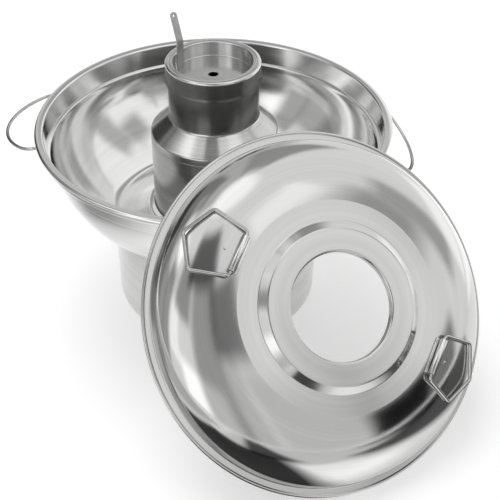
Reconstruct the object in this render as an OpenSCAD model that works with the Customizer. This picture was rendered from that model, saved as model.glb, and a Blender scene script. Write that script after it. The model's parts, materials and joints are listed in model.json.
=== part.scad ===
// Stainless hot pot for the camp table: a ring-shaped bowl on a hollow stand,
// heated by a charcoal firebox and chimney that rise through its middle.
// The domed lid is off and leans on the bowl's lip.

/* [Bowl] */
// Outer radius of the rolled lip
rim_r = 160; // [150:1:170]
// Width of the rolled lip
lip_w = 7.9; // [7:0.1:9]
// Height of the rolled lip
lip_h = 6; // [5.6:0.1:6.5]
// Radius of the lip's rounded corners
lip_round = 2.1; // [1.6:0.1:2.1]
// Thickness of the bowl's sheet
bowl_sheet = 1; // [0.8:0.1:1.2]
// Depth of the lid's ledge below the lip
ledge_drop = 20.5; // [18:0.5:24]
// Lean of the band above the ledge, in radius
band_lean = 2.3; // [1:0.1:3]
// Width of the ledge that the lid rests on
ledge_w = 2.6; // [2.1:0.1:3.3]
// Depth of the bowl, lip to underside of the floor
bowl_depth = 96; // [90:1:102]
// Radius of the flat floor
floor_r = 91; // [88:1:93]

/* [Stand] */
// Height of the stand
stand_h = 92; // [84:1:105]
// Radius of the stand at its top
stand_r = 95.8; // [94:0.2:97]
// How much narrower the stand is at its foot, in radius
stand_taper = 1.2; // [0:0.1:3]
// Radius of the rounded foot corner
foot_round = 11; // [6:0.5:14]
// Thickness of the stand's sheet
stand_sheet = 1; // [0.8:0.1:1.2]
// Width of the flange under the bowl's floor
flange_w = 11; // [8:0.5:14]

/* [Firebox and chimney] */
// Outer radius of the firebox
firebox_r = 57; // [53:0.5:60]
// Drop of the firebox's shoulder below the lip
shoulder_drop = 8; // [4:0.5:14]
// Height of the sloping shoulder
shoulder_h = 14.5; // [12:0.5:18]
// Rounding of the shoulder's lower edge
shoulder_round = 2; // [1.5:0.5:3]
// Rounding where the shoulder meets the chimney
neck_round = 4; // [3:0.5:5]
// Outer radius of the chimney
chimney_r = 40; // [37:0.5:42]
// Height of the chimney above the lip
chimney_h = 58; // [54:1:64]
// Thickness of the firebox's sheet
firebox_sheet = 1.2; // [1:0.1:1.4]
// Width of the collar round the firebox's foot
collar_w = 4.9; // [4:0.1:6]
// Height of the collar round the firebox's foot
collar_h = 11; // [9:0.5:14]

/* [Damper cap] */
// Radius of the damper cap
cap_r = 41.8; // [41.6:0.1:43]
// Thickness of the cap's sheet
cap_sheet = 1; // [0.8:0.1:1.1]
// Height of the cap's skirt
skirt_h = 19; // [16:0.5:22]
// Radius of the cap's sunken cup
cup_r = 34.6; // [33:0.2:35]
// Depth of the cup
cup_depth = 14.5; // [11:0.5:16]
// Radius of the draught hole
draught_r = 4.8; // [3:0.1:6]
// Width of the strap handle
strap_w = 7; // [6:0.1:8]
// Thickness of the strap handle
strap_t = 1.5; // [1.2:0.1:2]
// Height of the strap's upright part above the cup's floor
strap_up = 25.5; // [20:0.5:30]
// Length of the strap's leaning part
strap_lean_l = 25; // [18:0.5:30]
// Lean of the strap's upper part, in degrees
strap_lean = 18; // [0:1:30]

/* [Lid] */
// Play of the lid's edge inside the band
lid_play = 0.6; // [0.4:0.1:0.9]
// Thickness of the lid's sheet
lid_sheet = 1; // [0.8:0.1:1.2]
// Width of the lid's flat flange
lid_flange = 8; // [6.5:0.1:9]
// Height of the dome's first plateau
dome_h = 39.4; // [34:0.2:46]
// Outer radius of the first plateau
plateau_r = 85; // [82:0.5:88]
// Foot radius of the step between the plateaus
step_foot_r = 68.3; // [66:0.5:71]
// Head radius of the step between the plateaus
step_head_r = 61.6; // [59:0.5:64]
// Height of the step between the plateaus
step_h = 4.8; // [3:0.2:7]
// Play of the lid's hole round the damper cap
hole_play = 0.9; // [0.7:0.1:1.5]
// Depth of the turned edge of the lid's hole
hole_turn = 4.5; // [3:0.1:6]
// Tilt of the leaning lid from level, in degrees
lid_tilt = 48; // [44:1:60]

/* [Bails] */
// Thickness of the bail wire
wire_d = 2.8; // [2.4:0.1:3]
// Half the span of the bowl's bails
bail_half = 48.5; // [44:0.5:52]
// Reach of the bowl's bails from their hinge
bail_reach = 38; // [34:0.5:44]
// Half the width of the lid's bails at their corners
lid_bail_half = 26; // [22:0.5:28]
// Distance from the lid bail's hinge to its corners
lid_bail_corner = 31; // [28:0.5:34]
// Distance from the lid bail's hinge to its tip
lid_bail_reach = 46; // [42:0.5:48]
// Length of the lid's rolled clips
clip_l = 30; // [26:0.5:34]

/* [Air door] */
// Half the width of the draught opening, in degrees
vent_half = 16; // [12:1:18]
// Height of the draught opening
vent_h = 28; // [22:1:32]
// Height of the opening's sill above the table
vent_sill = 26; // [24:1:34]
// Travel of the air door, in degrees
door_travel = 38; // [36:1:45]

/* [Hidden] */
$fn = 72;
fine_sides = 180;
wire_sides = 24;
// Overrun of every cut past the face that it opens
cut = 1;
// Gap between pieces that are stacked or slide past each other
seat_gap = 0.3;
// Radial gap of a wire in its clip or ear, of the knob's neck in its door, and of an ear's foot on the band
pin_gap = 0.05;
neck_gap = 0.1;
foot_gap = 0.1;
wire_r = wire_d / 2;
bend_share = 0.99;
bend_lap = 0.15;

// Bowl: heights and radii of the sheet's middle line, from the table up
rim_z = stand_h + bowl_depth;
sheet_half = bowl_sheet / 2;
band_top_r = rim_r - lip_w + sheet_half;
band_foot_r = band_top_r - band_lean;
wall_r = band_foot_r - ledge_w;
ledge_z = rim_z - ledge_drop;
wall_top_z = ledge_z - bowl_sheet - sheet_half;
floor_z = stand_h + sheet_half;
// The wall falls as a flattened round: its full depth would be this share of its height
wall_fall_share = 1.396;
wall_power_share = 1.62;
wall_end_share = 0.668;
wall_fall = (wall_top_z - stand_h) * wall_fall_share;
wall_steps = 11;
heel_steps = 5;

// Chimney and damper cap
shoulder_z = rim_z - shoulder_drop;
neck_z = shoulder_z + shoulder_h;
// The chimney's skirt is welded end to end on the firebox a little below the shoulder
seam_drop = 6;
seam_z = shoulder_z - seam_drop;
chimney_top = rim_z + chimney_h;
firebox_half = firebox_sheet / 2;
cap_half = cap_sheet / 2;
cap_top = chimney_top + seat_gap + cap_sheet;
// Corner radii of the cap's rim, on the sheet's middle line, and inside its cup
cap_round = 1.6;
cup_round = 1.1;
cap_foot_z = cap_top - skirt_h;
cup_floor_z = cap_top - cup_depth;
strap_turn = 154;
// Turn of the strap's face from the cup's wall behind it, in degrees
strap_twist = -22;
strap_eye_r = 1.2;
// Distance of the strap's eye from its tip
strap_eye_in = 3.2;
strap_tip_share = 0.51;
// Gap between the strap's nearer edge and the cup's wall, past the round foot of the wall
strap_gap = 0.8;

// Fall of the collar's top toward the firebox
collar_slope_h = 2.4;

// Grate in the firebox's foot
grate_t = 3;
grate_r = firebox_r - firebox_sheet - seat_gap;
lug_w = 10;
lug_t = 1.5;
lug_reach = 7;
lug_h = 8;
lug_turns = [90, 210, 330];
grate_z = stand_h + lug_h;
slot_w = 5;
slot_pitch = 10;

// Air door and its rails
door_turn = 90;
open_turn = door_turn - door_travel;
door_margin = 5;
door_half = vent_half + door_margin;
rail_over = 2;
door_sheet = 1;
door_gap = 0.3;
door_edge = 5;
rail_lip = 2.4;
rail_t = 1.2;
knob_r = 5;
knob_neck_r = 2;
knob_neck_l = 5;
knob_l = 7;
knob_round = 1.5;
door_foot_z = vent_sill - door_edge;
door_h = vent_h + 2 * door_edge;

// Bowl bails and their ears
bail_turns = [172, -4];
bail_droops = [9, 42];
hinge_drop = 10.5;
hinge_z = rim_z - hinge_drop;
ear_l = 6;
bail_corner = 4;
ear_wall = 1;
ear_r = wire_r + pin_gap + ear_wall;
band_outer_r = band_top_r + sheet_half;
// The hinge line passes just outside the band at the ears
ear_in = bail_half - bail_corner - ear_l - seat_gap;
hinge_r = sqrt(pow(band_outer_r, 2) - pow(ear_in, 2)) + ear_r + seat_gap;
bail_side_share = 0.58;
bail_bend_share = 0.95;

// Lid: heights above the underside of its edge
lid_r = band_foot_r - sheet_half - lid_play;
lid_half = lid_sheet / 2;
bead_r = 1.5;
hole_r = cap_r + hole_play;
dome_foot_r = lid_r - lid_flange;
dome_foot_h = 8;
step_out = 1.5;
dome_steps = 14;
// The dome is part of an oval whose middle lies at this share of the plateau's radius
dome_mid_share = 0.8;
dome_mid_r = plateau_r * dome_mid_share;
dome_wide = dome_foot_r - step_out - dome_mid_r;
dome_rise = (dome_h - dome_foot_h) / sqrt(1 - pow((plateau_r - dome_mid_r) / dome_wide, 2));
plateau_rise = 1.2;
edge_round = 1.4;

dome_foot = [dome_foot_r, lid_half];
dome_brow = [dome_foot_r - step_out / 2, dome_foot_h];
plateau_edge = [plateau_r, dome_h];
step_foot = [step_foot_r, dome_h + plateau_rise];
step_head = [step_head_r, dome_h + plateau_rise + step_h];
hole_edge = [hole_r + lid_half, step_head[1]];
hole_foot = hole_edge - [0, hole_turn];
// Middle line of the lid's sheet, from its beaded edge to the turned edge of its hole
lid_line = concat(
    [[lid_r - bead_r, lid_half]],
    rounded([lid_r, lid_half], dome_foot, dome_brow, edge_round),
    [for (i = [0:dome_steps]) let (r = dome_mid_r + dome_wide * cos(90 * i / dome_steps))
        if (r > plateau_r + edge_round) [r, dome_at(r)]],
    [plateau_edge],
    rounded(plateau_edge, step_foot, step_head, edge_round),
    rounded(step_foot, step_head, hole_edge, edge_round),
    rounded(step_head, hole_edge, hole_foot, edge_round),
    [hole_foot]
);

// Lid clips, in the lid's own frame
clip_turns = [47, 227];
clip_wall = 1.4;
clip_r = wire_r + pin_gap + clip_wall;
clip_base_t = 0.8;
clip_out = 7.5;
clip_mid_r = plateau_r + clip_out;
clip_in = 4.6;
clip_slope = atan((dome_at(clip_mid_r - clip_in) - dome_at(clip_mid_r + clip_r)) / (clip_in + clip_r));
clip_seat_h = dome_at(clip_mid_r) + lid_half;
clip_axis_h = clip_seat_h + seat_gap + clip_base_t + clip_r;
lid_bail_corner_r = 4;
weld_r = 1.3;
weld_t = 0.35;
weld_out = 10;
// The lid's bails lie on the dome: the point of their sides that meets it first sets their slope
bail_rest_gap = 0.5;
lid_bail_foot = clip_l / 2 + lid_bail_corner_r;
side_steps = 10;
bail_slope = min([for (i = [2:side_steps])
    let (
        share = i / side_steps,
        out = lid_bail_corner * share,
        side = lid_bail_foot + (lid_bail_half - lid_bail_foot) * share,
        under = dome_at(norm([clip_mid_r + out, side])) + lid_half + wire_r + bail_rest_gap
    )
    atan((clip_axis_h - under) / out)]);

// Where the lid leans: its edge stands on the table and clears the lip by a small gap
lean_gap = 0.3;
lip_edge_r = lip_round + sheet_half;
lip_mid_r = rim_r - lip_edge_r;
lid_turn = -65;
lid_mid_z = (lid_r - bead_r) * sin(lid_tilt) - lid_half * cos(lid_tilt) + bead_r + seat_gap;
lean_steps = 24;
// Half the arc of the lip that the lid may touch, in degrees
lean_half = 70;
lid_reach = lean_reach(rim_r, 2 * rim_r + lid_r, lean_steps);

function unit(v) = v / norm(v);

// Points along an arc about c, from angle a to angle b
function arc(c, r, a, b, n) = [for (i = [0:n]) c + r * [cos(a + (b - a) * i / n), sin(a + (b - a) * i / n)]];

// Outline of a sheet of thickness t along its middle line p
function stroke(p, t) =
    let (
        last = len(p) - 1,
        d = [for (i = [0:last - 1]) unit(p[i + 1] - p[i])],
        mid = [for (i = [0:last]) unit(d[max(i - 1, 0)] + d[min(i, last - 1)])],
        off = [for (i = [0:last]) [-mid[i][1], mid[i][0]] * t / 2 / (mid[i] * d[min(i, last - 1)])]
    )
    concat([for (i = [0:last]) p[i] + off[i]], [for (i = [last:-1:0]) p[i] - off[i]]);

// Corner b of a line a-b-c, rounded with radius r
function rounded(a, b, c, r, n = 4) =
    let (
        d = unit(b - a),
        e = unit(c - b),
        turn = acos(d * e),
        s = sign(cross(d, e)),
        m = b - d * r * tan(turn / 2) + s * r * [-d[1], d[0]],
        start = atan2(-s * d[0], s * d[1])
    )
    arc(m, r, start, start + s * turn, n);

// Middle line of the bowl's wall at share u of its full fall
function wall_at(u) = [wall_r * sqrt(1 - pow(u, wall_power_share)), wall_top_z - wall_fall * u];

// Point at share s of the curve that leaves a toward b and ends at c
function curve_at(a, b, c, s) = a * pow(1 - s, 2) + b * 2 * s * (1 - s) + c * pow(s, 2);

// Height of the lid's dome at radius r outside the first plateau
function dome_at(r) = dome_foot_h + dome_rise * sqrt(max(0, 1 - pow((r - dome_mid_r) / dome_wide, 2)));

// Distance from p to the nearest stretch of a line
function line_room(p, line) = min([for (i = [1:len(line) - 1])
    let (a = line[i - 1], d = line[i] - a, share = max(0, min(1, (p - a) * d / (d * d))))
    norm(p - a - d * share)]);

// Room between the lip's rounded edge at angle a and the lid with its middle at x
function lip_room(a, x) =
    let (
        from_mid = [x - lip_mid_r * cos(a), lip_mid_r * sin(a), rim_z - lip_edge_r - lid_mid_z],
        out = from_mid[2] * cos(lid_tilt) - from_mid[0] * sin(lid_tilt),
        down = from_mid[0] * cos(lid_tilt) + from_mid[2] * sin(lid_tilt),
        p = [norm([down, from_mid[1]]), out]
    )
    min(line_room(p, lid_line) - lid_half, norm(p - lid_line[0]) - bead_r) - lip_edge_r;

// Nearest distance from the pot's axis at which the leaning lid clears the lip
function lean_reach(near, far, n) =
    n == 0 ? far :
    let (x = (near + far) / 2, room = min([for (a = [0:lean_half]) lip_room(a, x)]))
    room > lean_gap ? lean_reach(near, x, n - 1) : lean_reach(x, far, n - 1);

module spun(points) {
    rotate_extrude() polygon(points);
}

module spun_part(points, angle) {
    rotate([0, 0, -angle / 2]) rotate_extrude(angle = angle) polygon(points);
}

// Round wire along a flat line, bent at each inner corner; the bends are a hair thinner
module bent_wire(p, bends) {
    last = len(p) - 1;
    d = [for (i = [0:last - 1]) unit(p[i + 1] - p[i])];
    turn = [for (i = [1:last - 1]) acos(d[i - 1] * d[i])];
    trim = concat([0], [for (i = [1:last - 1]) bends[i - 1] * tan(turn[i - 1] / 2)], [0]);
    for (i = [0:last - 1]) {
        before = i == 0 ? 0 : bend_lap;
        after = i == last - 1 ? 0 : bend_lap;
        start = p[i] + d[i] * (trim[i] - before);
        translate([start[0], start[1], 0])
            rotate([0, 90, atan2(d[i][1], d[i][0])])
                cylinder(r = wire_r, h = norm(p[i + 1] - start) - trim[i + 1] + after, $fn = wire_sides);
    }
    for (i = [1:last - 1]) {
        s = sign(cross(d[i - 1], d[i]));
        r = bends[i - 1];
        m = p[i] - d[i - 1] * trim[i] + s * r * [-d[i - 1][1], d[i - 1][0]];
        from = atan2(-s * d[i - 1][0], s * d[i - 1][1]);
        translate([m[0], m[1], 0])
            rotate([0, 0, s > 0 ? from : from - turn[i - 1]])
                rotate_extrude(angle = turn[i - 1])
                    translate([r, 0]) circle(r = wire_r * bend_share, $fn = wire_sides);
    }
}

module bowl() {
    lip_in = band_top_r;
    lip_out = rim_r - sheet_half;
    top = rim_z - sheet_half;
    low = rim_z - lip_h + sheet_half;
    curl_end = [lip_in + 2 * bowl_sheet, low];
    a = wall_at(wall_end_share);
    b = wall_at(wall_end_share - 1 / wall_steps / wall_steps);
    toe = a + (a - b) * (floor_z - a[1]) / (a[1] - b[1]);
    heel = [floor_r, floor_z];
    line = concat(
        [curl_end],
        rounded(curl_end, [lip_out, low], [lip_out, top], lip_round),
        rounded([lip_out, low], [lip_out, top], [lip_in, top], lip_round),
        rounded([lip_out, top], [lip_in, top], [band_foot_r, ledge_z + sheet_half], lip_round),
        [[band_foot_r, ledge_z + sheet_half], [wall_r + sheet_half / 2, ledge_z - sheet_half]],
        [for (i = [0:wall_steps]) wall_at(wall_end_share * i / wall_steps)],
        [for (i = [1:heel_steps]) curve_at(a, toe, heel, i / heel_steps)],
        [[firebox_r + seat_gap, floor_z]]
    );
    color("silver") spun(stroke(line, bowl_sheet));
}

module firebox() {
    color("gray")
        spun([
            [firebox_r - firebox_sheet, stand_h],
            [firebox_r, stand_h],
            [firebox_r, seam_z],
            [firebox_r - firebox_sheet, seam_z]
        ]);
}

// Skirt, sloping shoulder and upright chimney, spun from one sheet
module chimney() {
    outer = firebox_r - firebox_half;
    neck = chimney_r - firebox_half;
    foot = [outer, seam_z];
    edge = [outer, shoulder_z];
    throat = [neck, neck_z];
    mouth = [neck, chimney_top];
    line = concat(
        [foot],
        rounded(foot, edge, throat, shoulder_round, 6),
        rounded(edge, throat, mouth, neck_round, 6),
        [mouth]
    );
    color("darkgray") spun(stroke(line, firebox_sheet));
}

module firebox_collar() {
    inner = firebox_r + seat_gap + sheet_half;
    outer = firebox_r + collar_w - sheet_half;
    base = floor_z + bowl_sheet;
    head = base + collar_h;
    toe = [outer + collar_w, base];
    bend = [outer, base];
    shoulder = [outer, head - collar_slope_h];
    line = concat(
        [toe],
        rounded(toe, bend, shoulder, bowl_sheet),
        rounded(bend, shoulder, [inner, head], bowl_sheet * 2),
        [[inner, head]]
    );
    color("whitesmoke") spun(stroke(line, bowl_sheet));
}

module stand_drum() {
    half = stand_sheet / 2;
    top = stand_h - half;
    head = [stand_r - half, top];
    foot = [stand_r - stand_taper - half, half];
    line = concat(
        [[stand_r - flange_w, top]],
        rounded([stand_r - flange_w, top], head, foot, stand_sheet),
        rounded(head, foot, [0, half], foot_round - half, 8),
        [[0, half]]
    );
    color("lightgray")
        difference() {
            spun(stroke(line, stand_sheet));
            rotate([0, 0, door_turn])
                translate([0, 0, vent_sill])
                    vent_wedge();
        }
}

// Sector that cuts the draught opening through the stand's wall
module vent_wedge() {
    inner = stand_r - foot_round;
    rotate([0, 0, -vent_half])
        rotate_extrude(angle = 2 * vent_half)
            translate([inner, 0]) square([foot_round + cut, vent_h]);
}

module grate_slots() {
    rows = floor((grate_r - slot_w) / slot_pitch);
    for (i = [-rows:rows]) {
        half = sqrt(pow(grate_r - slot_w, 2) - pow(i * slot_pitch, 2)) - slot_w / 2;
        translate([0, i * slot_pitch]) {
            square([2 * half, slot_w], center = true);
            for (s = [-1, 1])
                translate([s * half, 0]) circle(d = slot_w);
        }
    }
}

module fire_grate() {
    color("dimgray")
        translate([0, 0, grate_z])
            linear_extrude(grate_t)
                difference() {
                    circle(r = grate_r);
                    grate_slots();
                }
}

// Bent lugs inside the firebox's foot carry the grate
module grate_lugs() {
    wall = firebox_r - firebox_sheet;
    color("darkgray")
        for (turn = lug_turns)
            rotate([0, 0, turn])
                intersection() {
                    translate([wall - lug_reach, -lug_w / 2, stand_h])
                        difference() {
                            cube([lug_reach, lug_w, lug_h]);
                            translate([-lug_t, -cut, -lug_t])
                                cube([lug_reach, lug_w + 2 * cut, lug_h]);
                        }
                    translate([0, 0, stand_h]) cylinder(r = wall, h = lug_h, $fn = fine_sides);
                }
}

// Radius of the stand's outer face at height z
function stand_at(z) = stand_r - stand_taper * (stand_h - z) / stand_h;

module door_rails() {
    span = 2 * (door_half + rail_over) + door_travel;
    slot = door_sheet + 2 * door_gap;
    color("gainsboro")
        rotate([0, 0, door_turn - door_travel / 2])
            for (side = [0, 1]) {
                out = side == 0 ? -1 : 1;
                edge = side == 0 ? door_foot_z : door_foot_z + door_h;
                near = edge + out * door_gap;
                far = near + out * rail_t;
                lip = edge - out * rail_lip;
                face = stand_at(edge) + slot;
                spun_part([
                    [stand_at(near), near], [face, near], [face, lip],
                    [face + rail_t, lip], [face + rail_t, far], [stand_at(far), far]
                ], span);
            }
}

// Curved door, slid aside in its rails so that the draught opening is free
module air_door() {
    low = stand_at(door_foot_z) + door_gap;
    high = stand_at(door_foot_z + door_h) + door_gap;
    color("lightsteelblue")
        rotate([0, 0, open_turn])
            difference() {
                spun_part([
                    [low, door_foot_z],
                    [low + door_sheet, door_foot_z],
                    [high + door_sheet, door_foot_z + door_h],
                    [high, door_foot_z + door_h]
                ], 2 * door_half);
                translate([0, 0, door_foot_z + door_h / 2])
                    rotate([0, 90, 0])
                        cylinder(r = knob_neck_r + neck_gap, h = stand_r + knob_l);
            }
}

module door_knob() {
    face = stand_at(door_foot_z + door_h / 2) + door_gap;
    color("slategray")
        rotate([0, 0, open_turn])
            translate([face - neck_gap, 0, door_foot_z + door_h / 2])
                rotate([0, 90, 0])
                    spun(concat(
                        [[0, 0], [knob_neck_r, 0], [knob_neck_r, knob_neck_l]],
                        [[knob_r - knob_round, knob_neck_l]],
                        arc([knob_r - knob_round, knob_neck_l + knob_round], knob_round, -90, 0, 3),
                        arc([knob_r - knob_round, knob_neck_l + knob_l - knob_round], knob_round, 0, 90, 3),
                        [[0, knob_neck_l + knob_l]]
                    ));
}

// Two short tubes on feet that follow the band, one at each end of a bail
module ears(turn) {
    foot_w = hinge_r - sqrt(pow(band_outer_r, 2) - pow(ear_in + ear_l, 2)) + seat_gap;
    color("darkgray")
        rotate([0, 0, turn])
            for (side = [-1, 1])
                difference() {
                    translate([hinge_r, side * (ear_in + ear_l / 2), hinge_z])
                        union() {
                            rotate([90, 0, 0]) cylinder(r = ear_r, h = ear_l, center = true);
                            translate([-foot_w, -ear_l / 2, -ear_r])
                                cube([foot_w, ear_l, ear_r * 2]);
                        }
                    translate([hinge_r, side * ear_in, hinge_z])
                        rotate([-side * 90, 0, 0])
                            translate([0, 0, -cut])
                                cylinder(r = wire_r + pin_gap, h = ear_l + 2 * cut);
                    translate([0, 0, hinge_z - ear_r - cut])
                        cylinder(r = band_outer_r + foot_gap, h = 2 * (ear_r + cut), $fn = fine_sides);
                }
}

// A bowl bail: pins through both ears, then a flattened round arch
module bowl_bail(turn, droop) {
    side_r = bail_reach * bail_side_share;
    rise = bail_reach - bail_corner;
    crown_r = (pow(bail_half, 2) + pow(rise, 2) - 2 * bail_half * side_r) / (2 * (rise - side_r));
    split = atan2(bail_half - side_r, crown_r - rise);
    knee = bail_corner + side_r * tan((90 - split) / 2);
    tip = bail_corner + rise - crown_r + crown_r / cos(split);
    pin_in = ear_in + wire_r;
    color("silver")
        rotate([0, 0, turn])
            translate([hinge_r, 0, hinge_z])
                rotate([0, droop, 0])
                    bent_wire(
                        [
                            [0, -pin_in], [0, -bail_half], [knee, -bail_half], [tip, 0],
                            [knee, bail_half], [0, bail_half], [0, pin_in]
                        ],
                        [bail_corner, side_r, crown_r, side_r, bail_corner] * bail_bend_share
                    );
}

module damper_cap() {
    skirt = cap_r - cap_half;
    top = cap_top - cap_half;
    wall = cup_r + cap_half;
    floor_mid = cup_floor_z + cap_half;
    line = concat(
        [[skirt, cap_foot_z]],
        rounded([skirt, cap_foot_z], [skirt, top], [wall, top], cap_round),
        rounded([skirt, top], [wall, top], [wall, floor_mid], cup_round),
        rounded([wall, top], [wall, floor_mid], [draught_r, floor_mid], cup_round),
        [[draught_r, floor_mid]]
    );
    color("dimgray") spun(stroke(line, cap_sheet));
}

// Flat bar that stands on the cup's floor and leans out above the chimney, with an eye in its round end
module damper_strap() {
    // The back corner nearer to the wall, from the strap's middle
    face = [cos(strap_twist), sin(strap_twist)];
    corner = strap_t / 2 * face + strap_w / 2 * [-face[1], face[0]];
    mid = sqrt(pow(cup_r - strap_gap, 2) - pow(corner[1], 2)) - corner[0];
    low = cup_floor_z + cap_sheet;
    bend = low + strap_up;
    lean = [sin(strap_lean), cos(strap_lean)];
    tip = [0, bend] + lean * strap_lean_l;
    tip_mid = tip - lean * strap_w / 2;
    color("silver")
        rotate([0, 0, strap_turn])
            translate([mid, 0, 0])
                rotate([0, 0, strap_twist])
                    difference() {
                        rotate([90, 0, 0])
                            linear_extrude(strap_w, center = true)
                                polygon(stroke([[0, low], [0, bend], tip], strap_t));
                        translate([tip_mid[0], 0, tip_mid[1]])
                            rotate([0, strap_lean - 90, 0])
                                linear_extrude(strap_t + 2 * cut, center = true) {
                                    translate([strap_w / 2 - strap_eye_in, 0]) circle(r = strap_eye_r);
                                    difference() {
                                        translate([0, -strap_w]) square(2 * strap_w);
                                        circle(r = strap_w * strap_tip_share);
                                    }
                                }
                    }
}

// Puts a piece of the lid where the lid leans
module on_lid() {
    rotate([0, 0, lid_turn])
        translate([lid_reach, 0, lid_mid_z])
            rotate([0, lid_tilt, 0])
                children();
}

module lid_shell() {
    color("lightgray")
        on_lid()
            union() {
                spun(stroke(lid_line, lid_sheet));
                rotate_extrude() translate(lid_line[0]) circle(r = bead_r, $fn = wire_sides);
            }
}

// Rolled clip: a tube for the wire on a foot that lies along the dome
module lid_clip(turn) {
    color("gainsboro")
        on_lid()
            rotate([0, 0, turn])
                translate([clip_mid_r, 0, clip_axis_h])
                    rotate([0, clip_slope, 0])
                        difference() {
                            union() {
                                rotate([90, 0, 0]) cylinder(r = clip_r, h = clip_l, center = true);
                                translate([-clip_in, -clip_l / 2, -clip_r - clip_base_t])
                                    cube([clip_in, clip_l, clip_base_t + clip_wall]);
                            }
                            rotate([90, 0, 0])
                                cylinder(r = wire_r + pin_gap, h = clip_l + 2 * cut, center = true);
                        }
}

// Spot welds, one on the dome inside each bail
module lid_clip_welds() {
    out_r = clip_mid_r + weld_out;
    out_slope = atan((dome_at(out_r - weld_r) - dome_at(out_r + weld_r)) / (2 * weld_r));
    color("gray")
        on_lid()
            for (turn = clip_turns)
                rotate([0, 0, turn])
                    translate([out_r, 0, dome_at(out_r) + lid_half])
                        rotate([0, out_slope, 0])
                            cylinder(r = weld_r, h = weld_t);
}

// A lid bail: house-shaped, the two ends of its wire meet inside the clip
module lid_bail(turn) {
    foot = lid_bail_foot;
    color("silver")
        on_lid()
            rotate([0, 0, turn])
                translate([clip_mid_r, 0, clip_axis_h])
                    rotate([0, bail_slope, 0])
                        bent_wire(
                            [
                                [0, -seat_gap], [0, -foot], [lid_bail_corner, -lid_bail_half], [lid_bail_reach, 0],
                                [lid_bail_corner, lid_bail_half], [0, foot], [0, seat_gap]
                            ],
                            [for (i = [1:5]) lid_bail_corner_r]
                        );
}

bowl();
firebox();
chimney();
firebox_collar();
stand_drum();
fire_grate();
grate_lugs();
door_rails();
air_door();
door_knob();
ears(bail_turns[0]);  // left_ears
ears(bail_turns[1]);  // right_ears
bowl_bail(bail_turns[0], bail_droops[0]);  // left_bail
bowl_bail(bail_turns[1], bail_droops[1]);  // right_bail
damper_cap();
damper_strap();
lid_shell();
lid_clip(clip_turns[1]);  // lid_clip_left
lid_clip(clip_turns[0]);  // lid_clip_right
lid_clip_welds();
lid_bail(clip_turns[1]);  // lid_bail_left
lid_bail(clip_turns[0]);  // lid_bail_right
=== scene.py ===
import json
import math

import bmesh
import bpy
import numpy as np
from mathutils import Matrix, Vector


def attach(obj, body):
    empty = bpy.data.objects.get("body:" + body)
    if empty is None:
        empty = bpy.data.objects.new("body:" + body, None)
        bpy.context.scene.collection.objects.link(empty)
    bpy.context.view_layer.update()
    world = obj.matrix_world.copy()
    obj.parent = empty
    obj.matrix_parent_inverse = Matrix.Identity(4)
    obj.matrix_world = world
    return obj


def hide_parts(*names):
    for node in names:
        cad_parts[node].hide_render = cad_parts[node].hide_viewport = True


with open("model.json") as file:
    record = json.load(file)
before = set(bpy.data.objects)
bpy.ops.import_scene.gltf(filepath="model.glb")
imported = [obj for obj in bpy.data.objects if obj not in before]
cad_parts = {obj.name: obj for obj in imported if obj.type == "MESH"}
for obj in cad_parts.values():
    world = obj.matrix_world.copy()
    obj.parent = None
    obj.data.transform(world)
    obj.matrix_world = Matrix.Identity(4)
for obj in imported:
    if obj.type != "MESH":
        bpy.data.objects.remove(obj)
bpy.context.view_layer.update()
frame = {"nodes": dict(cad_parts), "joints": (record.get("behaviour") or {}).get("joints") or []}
joints = {joint["name"]: joint for joint in frame["joints"]}
MM = 0.001


# Places

def column_place(centre, x_axis, y_axis, z_axis):
    """A 4x4 place in metres from its centre and three axes."""
    place = Matrix.Identity(4)
    for column, vector in enumerate((x_axis, y_axis, z_axis, centre)):
        for row in range(3):
            place[row][column] = vector[row]
    return place


def turned(angle):
    return Matrix.Rotation(math.radians(angle), 4, "Z")


POT = Matrix.Identity(4)
lid_out = Vector(joints["lid_lift"]["axis"]).normalized()
lid_side = Vector((0, 0, 1)).cross(lid_out).normalized()
lid_down = lid_side.cross(lid_out).normalized()
lid_middle = Vector(joints["lid_lift"]["pos_m"])
LID = column_place(lid_middle, lid_down, lid_side, lid_out)


def hinge_place(name):
    """Middle of a bail's hinge and the direction of its hinge line."""
    joint = joints[name]
    return Vector(joint["pos_m"]), -Vector(joint["axis"]).normalized()


# Outlines, in millimetres

EDGE_STEPS = 6
LONGEST_STRETCH = 6.0


def unit(v):
    return v / np.linalg.norm(v)


def cross2(a, b):
    return a[0] * b[1] - a[1] * b[0]


def rounded(points, radii, steps=6):
    """A line with its inner corners rounded, one radius for each."""
    p = [np.array(q, float) for q in points]
    line = [p[0]]
    for before, corner, after, radius in zip(p, p[1:], p[2:], radii):
        a, b = unit(corner - before), unit(after - corner)
        turn = math.acos(max(-1.0, min(1.0, float(a @ b))))
        if radius == 0 or turn < 1e-3:
            line.append(corner)
            continue
        side = 1 if cross2(a, b) > 0 else -1
        normal = np.array([-a[1], a[0]]) * side
        middle = corner - a * radius * math.tan(turn / 2) + normal * radius
        start = math.atan2(-normal[1], -normal[0])
        for i in range(steps + 1):
            angle = start + side * turn * i / steps
            line.append(middle + radius * np.array([math.cos(angle), math.sin(angle)]))
    line.append(p[-1])
    return line


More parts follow.
